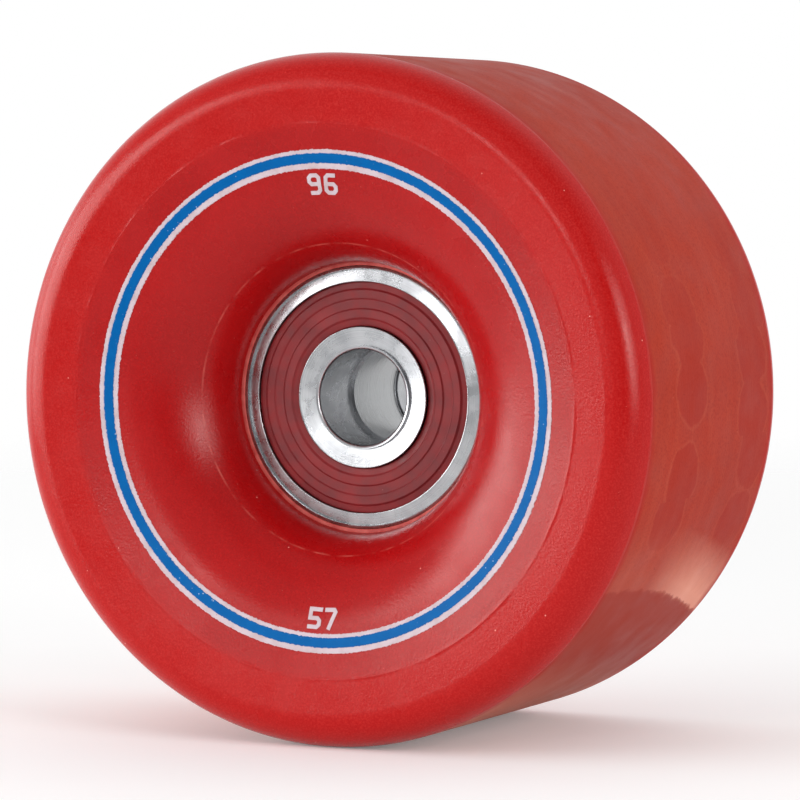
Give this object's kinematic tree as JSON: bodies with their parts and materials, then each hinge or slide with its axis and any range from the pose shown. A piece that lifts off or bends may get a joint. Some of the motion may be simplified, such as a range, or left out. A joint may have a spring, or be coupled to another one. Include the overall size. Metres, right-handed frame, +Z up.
{
  "type": "roller skate wheel",
  "caption": "Cast urethane roller skate wheel with a dished, ring-printed face, turning on two sealed ball bearings with a spacer between them for a plain axle.",
  "frame": {"origin": "middle of the wheel: on the axle line, halfway between the tops of the two lips", "axes": "+Y along the axle towards the plain rear side, the printed face looks to -Y, +Z up, +X to the right seen from the printed face"},
  "size_m": [0.057, 0.032, 0.057],
  "materials": {
    "urethane": "cast red polyurethane, glossy sides, ground matte tread",
    "white_ink": "pad-printed white ink",
    "blue_ink": "pad-printed blue ink",
    "bearing_steel": "ground bearing steel",
    "ball_steel": "polished bearing steel",
    "washer_steel": "rolled sheet steel",
    "cage_nylon": "moulded nylon",
    "seal_rubber": "moulded red rubber, satin",
    "spacer_aluminium": "turned aluminium"
  },
  "bodies": {
    "axle_side": {"front_inner_ring": "bearing_steel", "bearing_spacer": "spacer_aluminium", "rear_inner_ring": "bearing_steel"},
    "wheel": {"wheel_casting": "urethane", "white_ring_print": "white_ink", "blue_ring_print": "blue_ink", "size_number_print": "white_ink", "hardness_number_print": "white_ink", "front_outer_ring": "bearing_steel", "front_face_seal": "seal_rubber", "front_back_seal": "seal_rubber", "front_face_seal_washer": "washer_steel", "front_back_seal_washer": "washer_steel", "rear_outer_ring": "bearing_steel", "rear_face_seal": "seal_rubber", "rear_back_seal": "seal_rubber", "rear_face_seal_washer": "washer_steel", "rear_back_seal_washer": "washer_steel"},
    "front_ball_set": {"front_balls": "ball_steel", "front_cage": "cage_nylon"},
    "rear_ball_set": {"rear_balls": "ball_steel", "rear_cage": "cage_nylon"}
  },
  "joints": [
    {"name": "wheel_spin", "type": "hinge", "parent": "axle_side", "child": "wheel", "pos_m": [0, 0, 0], "axis": [0, 1, 0], "continuous": true},
    {"name": "front_ball_set_spin", "type": "hinge", "parent": "axle_side", "child": "front_ball_set", "pos_m": [0, -0.004, 0], "axis": [0, 1, 0], "continuous": true},
    {"name": "rear_ball_set_spin", "type": "hinge", "parent": "axle_side", "child": "rear_ball_set", "pos_m": [0, 0.011, 0], "axis": [0, 1, 0], "continuous": true}
  ],
  "couplings": [
    {"joint": "front_ball_set_spin", "follows": "wheel_spin", "ratio": 0.6323},
    {"joint": "rear_ball_set_spin", "follows": "wheel_spin", "ratio": 0.6323}
  ]
}
